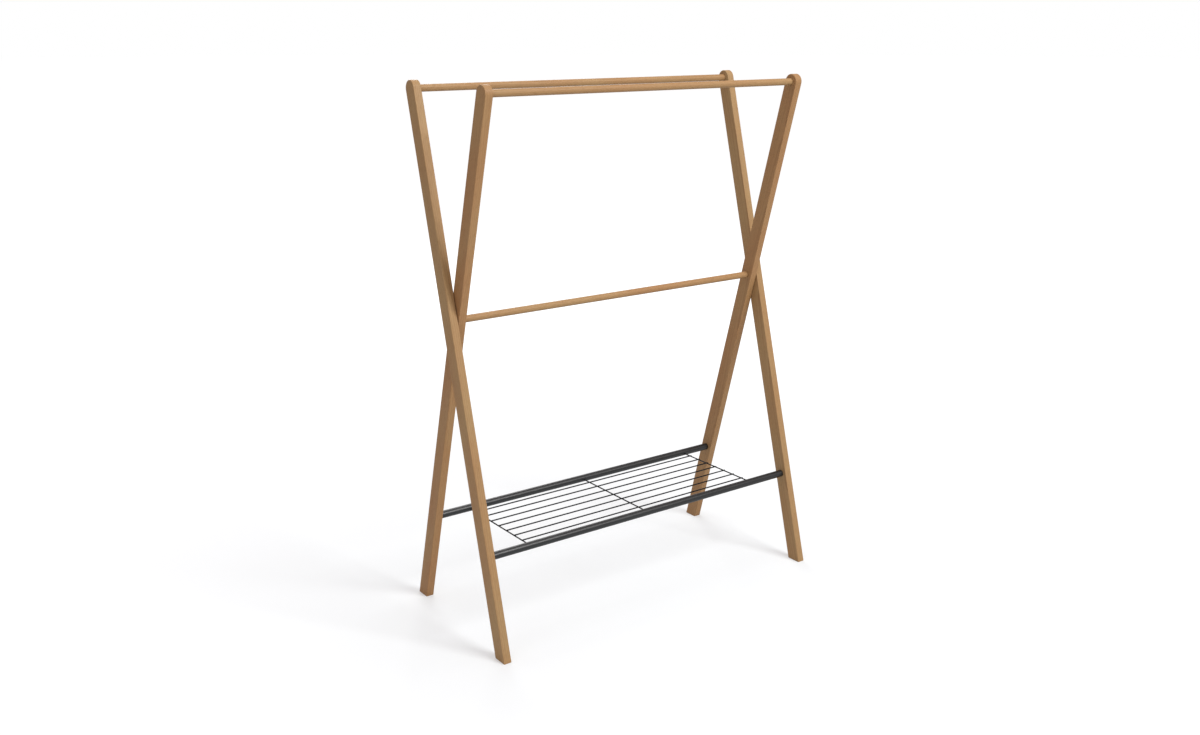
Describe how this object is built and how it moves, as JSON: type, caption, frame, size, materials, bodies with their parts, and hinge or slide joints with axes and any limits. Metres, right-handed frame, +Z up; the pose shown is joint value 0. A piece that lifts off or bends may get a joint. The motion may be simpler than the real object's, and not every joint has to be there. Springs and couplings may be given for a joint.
{
  "type": "folding clothes drying rack",
  "caption": "Free-standing folding wooden clothes rack: two crossed frames on an axle, hanging rails at the top, a middle rail and a low wire shelf between steel tubes.",
  "frame": {"origin": "on the floor, under the middle of the rack", "axes": "+Z up, +X along the rails, +Y from the front of the shelf to the back"},
  "size_m": [1.144, 0.5316, 1.54],
  "materials": {
    "wood": "satin clear varnish over light hardwood",
    "black_tube": "satin black powder coat",
    "black_wire": "satin black powder coat",
    "steel": "plain zinc plated",
    "plug_plastic": "matt"
  },
  "bodies": {
    "inner_frame": {"inner_leg_left": "wood", "inner_leg_right": "wood", "front_hanging_rail": "wood", "middle_rail": "wood", "axle_pin_left": "steel", "axle_pin_right": "steel", "axle_washer_left": "steel", "axle_washer_right": "steel", "rear_tube_peg_left": "steel", "rear_tube_peg_right": "steel"},
    "outer_frame": {"outer_leg_left": "wood", "outer_leg_right": "wood", "rear_hanging_rail": "wood", "front_shelf_tube": "black_tube", "front_tube_plug_left": "plug_plastic", "front_tube_plug_right": "plug_plastic", "front_tube_peg_left": "steel", "front_tube_peg_right": "steel", "catch_lug_1": "black_wire", "catch_lug_2": "black_wire", "catch_lug_3": "black_wire"},
    "shelf": {"rear_shelf_tube": "black_tube", "rear_tube_plug_left": "plug_plastic", "rear_tube_plug_right": "plug_plastic", "cross_wire_1": "black_wire", "cross_wire_2": "black_wire", "cross_wire_3": "black_wire", "long_wire_1": "black_wire", "long_wire_2": "black_wire", "long_wire_3": "black_wire", "long_wire_4": "black_wire", "long_wire_5": "black_wire", "long_wire_6": "black_wire", "long_wire_7": "black_wire"}
  },
  "joints": [
    {"name": "frame_fold", "type": "hinge", "parent": "inner_frame", "child": "outer_frame", "pos_m": [0, 0, 0.90751], "axis": [1, 0, 0], "range_deg": [0, 26.3]},
    {"name": "shelf_swing", "type": "hinge", "parent": "inner_frame", "child": "shelf", "pos_m": [0, 0.16848, 0.277], "axis": [-1, 0, 0], "range_deg": [0, 75]}
  ],
  "couplings": [
    {"joint": "shelf_swing", "follows": "frame_fold", "ratio": 2.85}
  ]
}
